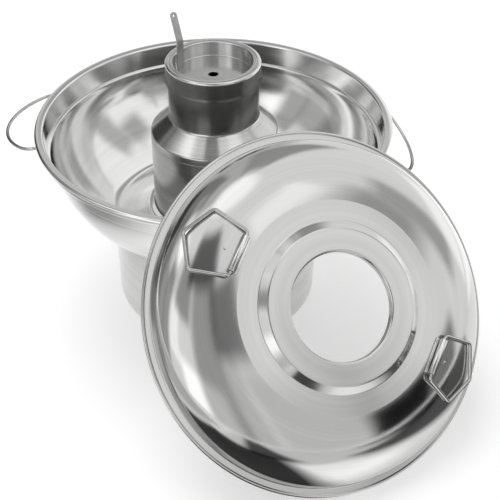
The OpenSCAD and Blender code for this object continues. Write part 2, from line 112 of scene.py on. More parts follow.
def sheet(line, thickness, square_start=False, square_end=False):
    """Closed outline of bent sheet about its middle line, with rounded edges save where one is square."""
    p = np.array(line)
    along = [unit(b - a) for a, b in zip(p, p[1:])]
    left, right = [], []
    for i, q in enumerate(p):
        a, b = along[max(i - 1, 0)], along[min(i, len(along) - 1)]
        middle = unit(a + b)
        normal = np.array([-middle[1], middle[0]]) * thickness / 2 / float(middle @ b)
        left.append(q + normal)
        right.append(q - normal)

    def cap(centre, direction):
        start = math.atan2(direction[0], -direction[1])
        return [
            centre + thickness / 2 * np.array([math.cos(start + a), math.sin(start + a)])
            for a in -np.linspace(0, math.pi, EDGE_STEPS + 1)[1:-1]
        ]

    last = [] if square_end else cap(p[-1], along[-1])
    first = [] if square_start else cap(p[0], -along[0])
    return left + last + right[::-1] + first


def supported(outline, reach=0.4, closed=True):
    """Adds points beside bends and along flat stretches, so that they shade flat. Even curves stay."""
    p = [np.array(q) for q in outline]
    pairs = list(zip(p, p[1:] + p[:1])) if closed else list(zip(p, p[1:]))
    steps = [b - a for a, b in pairs]
    lengths = [float(np.linalg.norm(step)) for step in steps]

    def bends(i, j):
        """Whether stretch i ends in an edge or a tighter curve where it meets stretch j."""
        if lengths[j] < lengths[i] / 3:
            return True
        straight = float(steps[i] @ steps[j]) / (lengths[i] * lengths[j])
        return straight < math.cos(math.radians(8))

    line = []
    for i, ((a, b), length) in enumerate(zip(pairs, lengths)):
        line.append(a)
        if length > 3 * reach:
            marks = [reach / length] if bends(i, i - 1) else []
            marks += [1 - reach / length] if bends(i, (i + 1) % len(pairs)) else []
            count = int(length // LONGEST_STRETCH)
            marks += [k / (count + 1) for k in range(1, count + 1)]
            line += [a + (b - a) * m for m in sorted(marks)]
    if not closed:
        line.append(p[-1])
    return line


# Geometry Nodes trees

SPIN_RADIUS = 0.1
SPUN_SIDES = 256
WIRE_SIDES = 24
MERGE_DISTANCE = 1e-6


def new_tree(name, sockets):
    tree = bpy.data.node_groups.new(name, "GeometryNodeTree")
    tree.interface.new_socket("Geometry", in_out="INPUT", socket_type="NodeSocketGeometry")
    for title, kind, value in sockets:
        socket = tree.interface.new_socket(title, in_out="INPUT", socket_type=kind)
        if value is not None:
            socket.default_value = value
    tree.interface.new_socket("Geometry", in_out="OUTPUT", socket_type="NodeSocketGeometry")
    return tree, tree.nodes.new("NodeGroupInput"), tree.nodes.new("NodeGroupOutput")


def finish_tree(tree, given, out, made):
    """Ends a tree in smooth shading, real geometry and its material."""
    smooth = tree.nodes.new("GeometryNodeSetShadeSmooth")
    real = tree.nodes.new("GeometryNodeRealizeInstances")
    painted = tree.nodes.new("GeometryNodeSetMaterial")
    link = tree.links.new
    link(made, smooth.inputs["Geometry"])
    link(smooth.outputs["Geometry"], real.inputs["Geometry"])
    link(real.outputs["Geometry"], painted.inputs["Geometry"])
    link(given.outputs["Finish"], painted.inputs["Material"])
    link(painted.outputs["Geometry"], out.inputs["Geometry"])


def spun_tree():
    """Turns an outline once round the axis. The outline's X is the radius less the spin radius."""
    tree, given, out = new_tree("Spun sheet", [
        ("Sides", "NodeSocketInt", SPUN_SIDES),
        ("Spin radius", "NodeSocketFloat", SPIN_RADIUS),
        ("Merge distance", "NodeSocketFloat", MERGE_DISTANCE),
        ("Finish", "NodeSocketMaterial", None),
    ])
    outline = tree.nodes.new("GeometryNodeMeshToCurve")
    circle = tree.nodes.new("GeometryNodeCurvePrimitiveCircle")
    upright = tree.nodes.new("GeometryNodeSetCurveNormal")
    upright.mode = "Z_UP"
    spin = tree.nodes.new("GeometryNodeCurveToMesh")
    merged = tree.nodes.new("GeometryNodeMergeByDistance")
    link = tree.links.new
    link(given.outputs["Geometry"], outline.inputs["Mesh"])
    link(given.outputs["Sides"], circle.inputs["Resolution"])
    link(given.outputs["Spin radius"], circle.inputs["Radius"])
    link(circle.outputs["Curve"], upright.inputs["Curve"])
    link(upright.outputs["Curve"], spin.inputs["Curve"])
    link(outline.outputs["Curve"], spin.inputs["Profile Curve"])
    link(spin.outputs["Mesh"], merged.inputs["Geometry"])
    link(given.outputs["Merge distance"], merged.inputs["Distance"])
    finish_tree(tree, given, out, merged.outputs["Geometry"])
    return tree


def wire_tree():
    """Round wire along a path, closed at both ends."""
    tree, given, out = new_tree("Bent wire", [
        ("Wire radius", "NodeSocketFloat", 0.0014),
        ("Sides", "NodeSocketInt", WIRE_SIDES),
        ("Finish", "NodeSocketMaterial", None),
    ])
    path = tree.nodes.new("GeometryNodeMeshToCurve")
    ring = tree.nodes.new("GeometryNodeCurvePrimitiveCircle")
    sweep = tree.nodes.new("GeometryNodeCurveToMesh")
    sweep.inputs["Fill Caps"].default_value = True
    link = tree.links.new
    link(given.outputs["Geometry"], path.inputs["Mesh"])
    link(given.outputs["Sides"], ring.inputs["Resolution"])
    link(given.outputs["Wire radius"], ring.inputs["Radius"])
    link(path.outputs["Curve"], sweep.inputs["Curve"])
    link(ring.outputs["Curve"], sweep.inputs["Profile Curve"])
    finish_tree(tree, given, out, sweep.outputs["Mesh"])
    return tree


def weld_tree():
    """Sets a low round weld on each point, standing along the point's own direction."""
    tree, given, out = new_tree("Spot welds", [
        ("Weld radius", "NodeSocketFloat", 0.0013),
        ("Flatness", "NodeSocketFloat", 0.27),
        ("Finish", "NodeSocketMaterial", None),
    ])
    ball = tree.nodes.new("GeometryNodeMeshUVSphere")
    ball.inputs["Segments"].default_value = 24
    ball.inputs["Rings"].default_value = 12
    away = tree.nodes.new("GeometryNodeInputNamedAttribute")
    away.data_type = "FLOAT_VECTOR"
    away.inputs["Name"].default_value = "away"
    aim = tree.nodes.new("FunctionNodeAlignRotationToVector")
    aim.axis = "Z"
    flat = tree.nodes.new("ShaderNodeCombineXYZ")
    flat.inputs["X"].default_value = 1
    flat.inputs["Y"].default_value = 1
    dots = tree.nodes.new("GeometryNodeInstanceOnPoints")
    link = tree.links.new
    link(given.outputs["Weld radius"], ball.inputs["Radius"])
    link(given.outputs["Flatness"], flat.inputs["Z"])
    link(away.outputs["Attribute"], aim.inputs["Vector"])
    link(given.outputs["Geometry"], dots.inputs["Points"])
    link(ball.outputs["Mesh"], dots.inputs["Instance"])
    link(aim.outputs["Rotation"], dots.inputs["Rotation"])
    link(flat.outputs["Vector"], dots.inputs["Scale"])
    finish_tree(tree, given, out, dots.outputs["Instances"])
    return tree


SPUN = spun_tree()
WIRE = wire_tree()
WELDS = weld_tree()


def run_tree(name, mesh, tree, values):
    """Runs a tree on a mesh and gives back the result as a plain mesh object."""
    source = bpy.data.objects.new(name + "_line", mesh)
    bpy.context.scene.collection.objects.link(source)
    modifier = source.modifiers.new("build", "NODES")
    modifier.node_group = tree
    sockets = {
        item.name: item.identifier
        for item in tree.interface.items_tree
        if item.item_type == "SOCKET" and item.in_out == "INPUT"
    }
    for title, value in values.items():
        modifier[sockets[title]] = value
    depsgraph = bpy.context.evaluated_depsgraph_get()
    made = bpy.data.meshes.new_from_object(source.evaluated_get(depsgraph), depsgraph=depsgraph)
    source.modifiers.remove(modifier)
    bpy.data.objects.remove(source)
    made.name = name
    return made


def line_mesh(name, points, closed):
    mesh = bpy.data.meshes.new(name)
    count = len(points)
    edges = [(i, (i + 1) % count) for i in range(count if closed else count - 1)]
    mesh.from_pydata([tuple(p) for p in points], edges, [])
    return mesh


def piece(name, mesh, place, material, body, nodes=()):
    """Puts a finished mesh in its place and on its body, with its faces pointing outwards."""
    mesh.transform(place)
    solid = bmesh.new()
    solid.from_mesh(mesh)
    if solid.calc_volume(signed=True) < 0:
        bmesh.ops.reverse_faces(solid, faces=solid.faces)
    solid.to_mesh(mesh)
    solid.free()
    if not mesh.materials:
        mesh.materials.append(material)
    obj = bpy.data.objects.new(name, mesh)
    bpy.context.scene.collection.objects.link(obj)
    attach(obj, body)
    if nodes:
        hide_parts(*nodes)
    return obj


def spun(name, outline, place, material, body, nodes=()):
    """A piece that is turned from its closed outline of radius and height."""
    points = [((r * MM) - SPIN_RADIUS, -z * MM, 0) for r, z in outline]
    mesh = run_tree(name, line_mesh(name, points, True), SPUN, {
        "Sides": SPUN_SIDES, "Spin radius": SPIN_RADIUS, "Merge distance": MERGE_DISTANCE, "Finish": material,
    })
    return piece(name, mesh, place, material, body, nodes)


def wire(name, path, place, radius, material, body, nodes=()):
    """A piece of round wire along its path."""
    points = [(x * MM, y * MM, z * MM) for x, y, z in path]
    mesh = run_tree(name, line_mesh(name, points, False), WIRE, {
        "Wire radius": radius * MM, "Sides": WIRE_SIDES, "Finish": material,
    })
    return piece(name, mesh, place, material, body, nodes)


def smooth_by_angle(mesh, degrees=30):
    mesh.shade_smooth()
    angle = math.radians(degrees)
    solid = bmesh.new()
    solid.from_mesh(mesh)
    for edge in solid.edges:
        if len(edge.link_faces) == 2 and edge.calc_face_angle(0) > angle:
            edge.smooth = False
    solid.to_mesh(mesh)
    solid.free()


def pressed(name, outline, width, place, material, body, nodes=(), bevel=0.0):
    """A bent strip: a closed outline in XZ, made as wide as the strip along Y."""
    solid = bmesh.new()
    rims = [[solid.verts.new((x * MM, y * MM, z * MM)) for x, z in outline] for y in (-width / 2, width / 2)]
    count = len(outline)
    for i in range(count):
        j = (i + 1) % count
        solid.faces.new((rims[0][i], rims[0][j], rims[1][j], rims[1][i]))
    ends = [solid.faces.new(rims[0][::-1]), solid.faces.new(rims[1])]
    bmesh.ops.recalc_face_normals(solid, faces=solid.faces)
    if bevel:
        edges = {edge for face in ends for edge in face.edges}
        bmesh.ops.bevel(
            solid, geom=list(edges), offset=bevel * MM, offset_type="OFFSET",
            segments=2, profile=0.5, affect="EDGES", clamp_overlap=True,
        )
    mesh = bpy.data.meshes.new(name)
    solid.to_mesh(mesh)
    solid.free()
    smooth_by_angle(mesh)
    return piece(name, mesh, place, material, body, nodes)


# Shader groups

def new_material(name):
    material = bpy.data.materials.new(name)
    material.use_nodes = True
    return material, material.node_tree


def new_group(name, inputs, outputs):
    group = bpy.data.node_groups.new(name, "ShaderNodeTree")
    for title, kind, value in inputs:
        socket = group.interface.new_socket(title, in_out="INPUT", socket_type=kind)
        if value is not None:
            socket.default_value = value
    for title, kind in outputs:
        group.interface.new_socket(title, in_out="OUTPUT", socket_type=kind)
    return group, group.nodes.new("NodeGroupInput"), group.nodes.new("NodeGroupOutput")


def math_node(tree, operation, a, b=None, clamp=False):
    node = tree.nodes.new("ShaderNodeMath")
    node.operation = operation
    node.use_clamp = clamp
    for socket, value in zip(node.inputs, (a, b)):
        if value is None:
            continue
        if isinstance(value, bpy.types.NodeSocket):
            tree.links.new(value, socket)
        else:
            socket.default_value = value
    return node.outputs[0]


def vector_node(tree, operation, a, b=None):
    node = tree.nodes.new("ShaderNodeVectorMath")
    node.operation = operation
    for socket, value in zip(node.inputs, (a, b)):
        if value is None:
            continue
        if isinstance(value, bpy.types.NodeSocket):
            tree.links.new(value, socket)
        else:
            socket.default_value = value
    return node.outputs["Value"] if operation in ("DOT_PRODUCT", "LENGTH") else node.outputs["Vector"]


def noise(tree, vector, scale, detail, roughness=0.5):
    node = tree.nodes.new("ShaderNodeTexNoise")
    node.inputs["Detail"].default_value = detail
    node.inputs["Roughness"].default_value = roughness
    tree.links.new(vector, node.inputs["Vector"])
    if isinstance(scale, bpy.types.NodeSocket):
        tree.links.new(scale, node.inputs["Scale"])
    else:
        node.inputs["Scale"].default_value = scale
    return node.outputs["Fac"]


def spread(tree, value, low, high, to_low=0.0, to_high=1.0):
    node = tree.nodes.new("ShaderNodeMapRange")
    node.inputs["From Min"].default_value = low
    node.inputs["From Max"].default_value = high
    node.inputs["To Min"].default_value = to_low
    node.inputs["To Max"].default_value = to_high
    tree.links.new(value, node.inputs["Value"])
    return node.outputs["Result"]


def turning_group():
    """Fine rings that a spinning lathe leaves on sheet, and the slow bands between them."""
    group, given, out = new_group("Turning marks", [
        ("Position", "NodeSocketVector", None),
        ("Axis point", "NodeSocketVector", (0, 0, 0)),
        ("Axis", "NodeSocketVector", (0, 0, 1)),
        ("Rings per metre", "NodeSocketFloat", 2200.0),
        ("Bands per metre", "NodeSocketFloat", 160.0),
    ], [("Rings", "NodeSocketFloat"), ("Bands", "NodeSocketFloat"), ("Radius", "NodeSocketFloat"),
        ("Height", "NodeSocketFloat")])
    reach = vector_node(group, "SUBTRACT", given.outputs["Position"], given.outputs["Axis point"])
    height = vector_node(group, "DOT_PRODUCT", reach, given.outputs["Axis"])
    radius = vector_node(group, "LENGTH", vector_node(group, "CROSS_PRODUCT", reach, given.outputs["Axis"]))
    place = group.nodes.new("ShaderNodeCombineXYZ")
    group.links.new(radius, place.inputs["X"])
    group.links.new(height, place.inputs["Y"])
    group.links.new(radius, out.inputs["Radius"])
    group.links.new(height, out.inputs["Height"])
    rings = noise(group, place.outputs[0], given.outputs["Rings per metre"], 3.0)
    bands = noise(group, place.outputs[0], given.outputs["Bands per metre"], 2.0)
    group.links.new(rings, out.inputs["Rings"])
    group.links.new(bands, out.inputs["Bands"])
    return group


def handling_group():
    """Cloudy wiping marks and a few short scratches."""
    group, given, out = new_group("Handling marks", [
        ("Position", "NodeSocketVector", None),
        ("Clouds per metre", "NodeSocketFloat", 22.0),
        ("Scratches per metre", "NodeSocketFloat", 90.0),
    ], [("Clouds", "NodeSocketFloat"), ("Scratches", "NodeSocketFloat")])
    clouds = noise(group, given.outputs["Position"], given.outputs["Clouds per metre"], 4.0, 0.6)
    stretched = group.nodes.new("ShaderNodeMapping")
    stretched.inputs["Rotation"].default_value = (0.5, 0.3, 0.8)
    stretched.inputs["Scale"].default_value = (1.0, 14.0, 5.0)
    group.links.new(given.outputs["Position"], stretched.inputs["Vector"])
    fine = noise(group, stretched.outputs["Vector"], given.outputs["Scratches per metre"], 2.0)
    group.links.new(spread(group, clouds, 0.35, 0.7), out.inputs["Clouds"])
    group.links.new(spread(group, fine, 0.66, 0.74), out.inputs["Scratches"])
    return group


def soft_window_group():
    """1 between two limits, with soft edges."""
    group, given, out = new_group("Soft window", [
        ("Value", "NodeSocketFloat", 0.0),
        ("From", "NodeSocketFloat", 0.0),
        ("To", "NodeSocketFloat", 10.0),
        ("Softness", "NodeSocketFloat", 3.0),
    ], [("Inside", "NodeSocketFloat")])
    value = given.outputs["Value"]
    soft = given.outputs["Softness"]
    past_from = math_node(group, "SUBTRACT", value, given.outputs["From"])
    short_of_to = math_node(group, "SUBTRACT", given.outputs["To"], value)
    rise = math_node(group, "ADD", math_node(group, "DIVIDE", past_from, soft), 0.5, True)
    fall = math_node(group, "ADD", math_node(group, "DIVIDE", short_of_to, soft), 0.5, True)
    group.links.new(math_node(group, "MULTIPLY", rise, fall), out.inputs["Inside"])
    return group


TURNING = turning_group()
HANDLING = handling_group()
WINDOW = soft_window_group()


def placed_group(tree, group, values):
    node = tree.nodes.new("ShaderNodeGroup")
    node.node_tree = group
    for title, value in values.items():
        if isinstance(value, bpy.types.NodeSocket):
            tree.links.new(value, node.inputs[title])
        else:
            node.inputs[title].default_value = value
    return node


def multiplied(tree, colour, value):
    """A Mix node that multiplies another one's colour by a value."""
    node = tree.nodes.new("ShaderNodeMix")
    node.data_type = "RGBA"
    node.blend_type = "MULTIPLY"
    node.inputs["Factor"].default_value = 1.0
    tree.links.new(colour.outputs["Result"], node.inputs["A"])
    tree.links.new(value, node.inputs["B"])
    return node


def steel(name, dark, light, rough, axis_point=(0, 0, 0), axis=(0, 0, 1), anisotropic=0.0,
          rings=2200.0, ring_depth=0.02, smudge=0.05, outline=0.0, painted_shade_zones=(), painted_shade_depth=0.5):
    """Polished stainless steel with turning marks round an axis, wiping marks and light scratches.
    Thin wire's dark outline is partly the dark panels beside it that it mirrors and partly painted edge
    shade: the outline value darkens the Specular Tint, so it mirrors less where it turns away.
    Painted shade darkens the base colour in the areas listed by radius and height, from and to, in metres."""
    material, tree = new_material(name)
    shader = tree.nodes["Principled BSDF"]
    shader.inputs["Metallic"].default_value = 1.0
    shader.inputs["Anisotropic"].default_value = anisotropic
    # Painted edge shade: a dark Specular Tint makes the metal mirror less at grazing angles
    shader.inputs["Specular Tint"].default_value = (1.0 - outline, 1.0 - outline, 1.0 - outline, 1)
    position = tree.nodes.new("ShaderNodeTexCoord").outputs["Object"]
    turning = placed_group(tree, TURNING, {
        "Position": position, "Axis point": axis_point, "Axis": axis, "Rings per metre": rings,
    })
    handling = placed_group(tree, HANDLING, {"Position": position})
    tone = math_node(tree, "ADD", math_node(tree, "MULTIPLY", turning.outputs["Rings"], 0.45),
                     math_node(tree, "MULTIPLY", turning.outputs["Bands"], 0.55))
    colour = tree.nodes.new("ShaderNodeMix")
    colour.data_type = "RGBA"
    colour.inputs["A"].default_value = (*dark, 1)
    colour.inputs["B"].default_value = (*light, 1)
    tree.links.new(spread(tree, tone, 0.36, 0.64), colour.inputs["Factor"])
    # Painted shade: the base colour of each listed area is darkened
    for inner, outer, low, high in painted_shade_zones:
        across = placed_group(tree, WINDOW, {
            "Value": turning.outputs["Radius"], "From": inner, "To": outer, "Softness": 0.001})
        upward = placed_group(tree, WINDOW, {
            "Value": turning.outputs["Height"], "From": low, "To": high, "Softness": 0.0015})
        painted_shade_area = math_node(tree, "MULTIPLY", across.outputs[0], upward.outputs[0])
        colour = multiplied(tree, colour, spread(tree, painted_shade_area, 0.0, 1.0, 1.0, 1.0 - painted_shade_depth))
    tree.links.new(colour.outputs["Result"], shader.inputs["Base Color"])
    marks = math_node(tree, "ADD", math_node(tree, "MULTIPLY", handling.outputs["Clouds"], smudge),
                      math_node(tree, "MULTIPLY", handling.outputs["Scratches"], smudge * 0.6))
    marks = math_node(tree, "ADD", marks, math_node(tree, "MULTIPLY", turning.outputs["Rings"], smudge))
    tree.links.new(math_node(tree, "ADD", marks, rough), shader.inputs["Roughness"])
    bump = tree.nodes.new("ShaderNodeBump")
    bump.inputs["Strength"].default_value = ring_depth
    bump.inputs["Distance"].default_value = 0.0005
    tree.links.new(turning.outputs["Rings"], bump.inputs["Height"])
    tree.links.new(bump.outputs["Normal"], shader.inputs["Normal"])
    if anisotropic:
        reach = vector_node(tree, "SUBTRACT", position, axis_point)
        along = vector_node(tree, "CROSS_PRODUCT", axis, reach)
        tree.links.new(vector_node(tree, "CROSS_PRODUCT", along, axis), shader.inputs["Tangent"])
    return material


lid_axis = tuple(lid_out)
lid_point = tuple(lid_middle)
BOWL_STEEL = steel("Bowl steel", (0.76, 0.76, 0.755), (0.82, 0.82, 0.815), 0.06, anisotropic=0.3)
LID_STEEL = steel("Lid steel", (0.58, 0.58, 0.575), (0.64, 0.64, 0.635), 0.06, lid_point, lid_axis, 0.3)
STAND_STEEL = steel("Stand steel", (0.62, 0.62, 0.615), (0.69, 0.69, 0.685), 0.15, anisotropic=0.4)
# Painted shade: the firebox and chimney walls are darkened, all but the shoulder between them
FIREBOX_STEEL = steel("Firebox steel", (0.52, 0.52, 0.515), (0.62, 0.62, 0.615), 0.13, anisotropic=0.6,
                      ring_depth=0.03, painted_shade_zones=[(0, 0.1, 0.0, 0.1785), (0, 0.1, 0.196, 0.3)], painted_shade_depth=0.3)
# Painted shade: the damper's outer skirt is darkened below its rim
DAMPER_STEEL = steel("Damper steel", (0.60, 0.60, 0.595), (0.68, 0.68, 0.675), 0.12, anisotropic=0.6,
                     ring_depth=0.03, painted_shade_zones=[(0.039, 0.1, 0.1, 0.2445)])
# Painted edge shade on the wire and the rolled clips, through a dark Specular Tint
WIRE_STEEL = steel("Bright wire", (0.52, 0.52, 0.51), (0.62, 0.62, 0.61), 0.12, rings=900.0, ring_depth=0.01,
                   outline=1.0)
CLIP_STEEL = steel("Rolled clip steel", (0.66, 0.66, 0.65), (0.76, 0.76, 0.75), 0.1, rings=900.0,
                   ring_depth=0.01, outline=0.7)
STRAP_STEEL = steel("Satin strap", (0.42, 0.42, 0.415), (0.52, 0.52, 0.515), 0.28, rings=700.0,
                    ring_depth=0.03)
DOOR_STEEL = steel("Satin door steel", (0.52, 0.52, 0.51), (0.60, 0.60, 0.59), 0.3)
GRATE_STEEL = steel("Heat-stained grate", (0.16, 0.14, 0.13), (0.32, 0.30, 0.29), 0.45, smudge=0.25)


# Bowl and lip

RIM_R, RIM_Z, STAND_H = 160.0, 188.0, 92.0
SHEET = 1.0
BAND_TOP_R, BAND_FOOT_R, LEDGE_Z = 152.6, 150.3, 167.5
WALL_R, WALL_TOP_Z = 147.7, 166.0
WALL_FALL, WALL_POWER, WALL_END = 74 * 1.396, 1.62, 0.668
FLOOR_FLAT_R, FLOOR_HOLE_R = 91.0, 57.3


def bowl_line():
    """Middle line of the bowl's sheet, from the curled edge of the lip to the hole in the floor."""
    low, top = RIM_Z - 5.5, RIM_Z - 0.5
    curl = [(BAND_TOP_R + 2, low), (RIM_R - 0.5, low), (RIM_R - 0.5, top), (156, top + 0.35)]
    band = [(BAND_TOP_R, top - 0.2), (BAND_FOOT_R, LEDGE_Z + 0.4)]
    ledge = [(WALL_R + 0.25, LEDGE_Z - 0.7), (WALL_R, WALL_TOP_Z - 1)]
    lip = rounded(curl + band + ledge, [2.1, 2.1, 3.0, 1.6, 0.6, 0.6])[:-1]
    shares = np.linspace(0.012, WALL_END, 44)
    wall = [np.array([WALL_R * math.sqrt(1 - s ** WALL_POWER), WALL_TOP_Z - WALL_FALL * s]) for s in shares]
    a, b = wall[-1], wall[-2]
    floor_z = STAND_H + 0.5
    toe = a + (a - b) * (floor_z - a[1]) / (a[1] - b[1])
    heel = np.array([FLOOR_FLAT_R, floor_z])
    corner = [a * (1 - s) ** 2 + toe * 2 * s * (1 - s) + heel * s ** 2 for s in np.linspace(0.1, 1, 10)]
    return lip + wall + corner + [np.array([FLOOR_HOLE_R, floor_z])]


spun("bowl_spinning", supported(sheet(bowl_line(), SHEET)), POT, BOWL_STEEL, "pot", ["bowl"])


# Firebox, chimney and collar

FIREBOX_R, CHIMNEY_R, FIREBOX_SHEET = 57.0, 40.0, 1.2
SEAM_Z, SHOULDER_Z, NECK_Z, CHIMNEY_TOP = 174.0, 180.0, 194.5, 246.0
SHOULDER_ROUND, NECK_ROUND = 2.0, 4.0

# The weld between the two is ground flush, so their walls run on without a line
wall_r, flue_r = FIREBOX_R - FIREBOX_SHEET / 2, CHIMNEY_R - FIREBOX_SHEET / 2
firebox_line = [(wall_r, STAND_H), (wall_r, SEAM_Z)]
chimney_line = rounded(
    [(wall_r, SEAM_Z), (wall_r, SHOULDER_Z), (flue_r, NECK_Z), (flue_r, CHIMNEY_TOP)],
    [SHOULDER_ROUND, NECK_ROUND], 10,
)
spun("firebox_wall", supported(sheet(firebox_line, FIREBOX_SHEET, square_end=True)), POT, FIREBOX_STEEL,
     "pot", ["firebox"])
spun("chimney_wall", supported(sheet(chimney_line, FIREBOX_SHEET, square_start=True)), POT, FIREBOX_STEEL,
     "pot", ["chimney"])

collar_line = rounded(
    [(66.3, 93.5), (61.4, 93.5), (61.4, 102.05), (57.8, 104.5)], [1.2, 2.2], 8,
)
spun("collar_ring", supported(sheet(collar_line, SHEET)), POT, BOWL_STEEL,
     "pot", ["firebox_collar"])


# Stand with its draught opening

STAND_R, STAND_TAPER, FOOT_ROUND = 95.8, 1.2, 11.0
VENT_TURN, VENT_HALF, VENT_LOW, VENT_HIGH = 90.0, 16.0, 26.0, 54.0
# 1.6 degrees a side, so that the draught opening is a whole number of them
STAND_SIDES = 225
DRUM_WALL_R = 80


def stand_line():
    head = (STAND_R - 0.5, STAND_H - 0.5)
    foot = (STAND_R - STAND_TAPER - 0.5, 0.5)
    return rounded([(STAND_R - 11, STAND_H - 0.5), head, foot, (0, 0.5)], [1.4, FOOT_ROUND - 0.5], 14)


def drum_line():
    """Outline of the drum from the axis round to the axis, with points at the opening's two heights."""
    ring = [np.array(q) for q in sheet(stand_line(), SHEET)]
    on_axis = [i for i, q in enumerate(ring) if q[0] < 0.6]
    ring = ring[max(on_axis) + 1:] + ring[:min(on_axis)]
    whole = [np.array([0.0, ring[0][1]])] + ring + [np.array([0.0, ring[-1][1]])]
    whole = supported(whole, closed=False)
    line = []
    for a, b in zip(whole, whole[1:]):
        line.append(a)
        on_wall = min(a[0], b[0]) > DRUM_WALL_R
        cuts = [z for z in (VENT_LOW, VENT_HIGH) if on_wall and (a[1] - z) * (b[1] - z) < 0]
        cuts.sort(key=lambda z: abs(z - a[1]))
        line += [a + (b - a) * (z - a[1]) / (b[1] - a[1]) for z in cuts]
    line.append(whole[-1])
    return line


def drum_ring(solid, r, z):
    """One round of points, or the same point all round where it lies on the axis."""
    if r < 1e-6:
        return [solid.verts.new((0, 0, z * MM))] * STAND_SIDES
    angles = [math.radians(VENT_TURN - VENT_HALF + 360 * k / STAND_SIDES) for k in range(STAND_SIDES)]
    return [solid.verts.new((r * MM * math.cos(a), r * MM * math.sin(a), z * MM)) for a in angles]


def stand_shell():
    """The drum as a grid of rings, with the cells of the draught opening left out and its edge closed."""
    solid = bmesh.new()
    line = drum_line()
    rings = [drum_ring(solid, r, z) for r, z in line]
    open_columns = round(2 * VENT_HALF * STAND_SIDES / 360)
    for (r, z), (s, w), low, high in zip(line, line[1:], rings, rings[1:]):
        in_rows = min(r, s) > DRUM_WALL_R and min(z, w) > VENT_LOW - 0.01 and max(z, w) < VENT_HIGH + 0.01
        for k in range(STAND_SIDES):
            if in_rows and k < open_columns:
                continue
            j = (k + 1) % STAND_SIDES
            corners = [low[k], low[j], high[j], high[k]]
            corners = [v for n, v in enumerate(corners) if v not in corners[:n]]
            solid.faces.new(corners)
    edges = [edge for edge in solid.edges if edge.is_boundary]
    bmesh.ops.bridge_loops(solid, edges=edges)
    bmesh.ops.recalc_face_normals(solid, faces=solid.faces)
    mesh = bpy.data.meshes.new("stand_shell")
    solid.to_mesh(mesh)
    solid.free()
    smooth_by_angle(mesh, 40)
    return piece("stand_shell", mesh, POT, STAND_STEEL, "pot", ["stand_drum"])


stand_shell()


# Damper cap and its strap

CAP_R, CUP_R, CAP_TOP, SKIRT_H = 41.8, 34.6, 247.3, 19.0
CUP_FLOOR_Z, DRAUGHT_R, GROOVE_R = CAP_TOP - 14.5, 4.8, 38.0


def cap_line():
    """Middle line of the cap's sheet, from the skirt's lower edge over the grooved rim into the cup."""
    skirt, top, wall, floor_z = CAP_R - 0.5, CAP_TOP - 0.5, CUP_R + 0.5, CUP_FLOOR_Z + 0.5
    side = [(skirt + 0.25, CAP_TOP - SKIRT_H), (skirt, CAP_TOP - SKIRT_H + 3), (skirt, top - 0.2)]
    groove = [(GROOVE_R + 0.6, top + 0.15), (GROOVE_R, top - 0.45), (GROOVE_R - 0.6, top + 0.05)]
    cup = [(wall, top - 0.15), (wall, floor_z), (DRAUGHT_R, floor_z)]
    return rounded(side + groove + cup, [1.0, 1.8, 0.3, 0.25, 0.3, 0.9, 1.1], 8)


spun("damper_pan", supported(sheet(cap_line(), SHEET), 0.3), POT, DAMPER_STEEL,
     "damper", ["damper_cap"])

STRAP_W, STRAP_T, STRAP_UP, STRAP_LEAN_L, STRAP_LEAN = 7.0, 1.5, 25.5, 25.0, 18.0
STRAP_TURN, STRAP_TWIST, STRAP_WALL_GAP = 154.0, -22.0, 0.8
STRAP_EYE_R, STRAP_EYE_IN, STRAP_BEND = 1.2, 3.2, 3.0


def strap_place():
    """Place of the strap's foot: it stands on the cup's floor, with one edge close to the wall."""
    twist = math.radians(STRAP_TWIST)
    half_t, half_w = STRAP_T / 2, STRAP_W / 2
    corner_x = half_t * math.cos(twist) - half_w * math.sin(twist)
    corner_y = half_t * math.sin(twist) + half_w * math.cos(twist)
    reach = math.sqrt((CUP_R - STRAP_WALL_GAP) ** 2 - corner_y ** 2) - corner_x
    foot = Matrix.Translation((reach * MM, 0, (CUP_FLOOR_Z + SHEET) * MM))
    return turned(STRAP_TURN) @ foot @ turned(STRAP_TWIST)


def strap_blank():
    """Flat blank along X, with a round end and an eye; each row is a strip from its outline to its middle."""
    half = STRAP_W / 2
    length = STRAP_UP + STRAP_LEAN_L
    centre, eye = length - half, length - STRAP_EYE_IN
    solid = bmesh.new()
    across = np.linspace(-half, half, 9)
    along = np.linspace(0, centre - 1.2, 44)
    grid = [[solid.verts.new((x, y, 0)) for y in across] for x in along]
    for a, b in zip(grid, grid[1:]):
        for i in range(len(across) - 1):
            solid.faces.new((a[i], a[i + 1], b[i + 1], b[i]))
    rim = [solid.verts.new((centre + half * math.sin(a), half * math.cos(a), 0))
           for a in np.linspace(0, math.pi, 25)]
    outer = grid[-1] + rim
    inner = []
    for v in outer:
        angle = math.atan2(v.co.y, v.co.x - eye)
        inner.append(solid.verts.new((eye + STRAP_EYE_R * math.cos(angle), STRAP_EYE_R * math.sin(angle), 0)))
    for i in range(len(outer)):
        j = (i + 1) % len(outer)
        solid.faces.new((outer[i], outer[j], inner[j], inner[i]))
    bmesh.ops.recalc_face_normals(solid, faces=solid.faces)
    return solid


def bent_up(along):
    """Place across and up of a point at this length along the strap, with its bend eased."""
    lean = math.radians(STRAP_LEAN)
    start = STRAP_UP - STRAP_BEND / 2
    radius = STRAP_BEND / lean
    angle = min(max(along - start, 0), STRAP_BEND) / radius
    after = max(along - start - STRAP_BEND, 0)
    out = radius * (1 - math.cos(angle)) + after * math.sin(lean)
    up = min(along, start) + radius * math.sin(angle) + after * math.cos(lean)
    return out, up


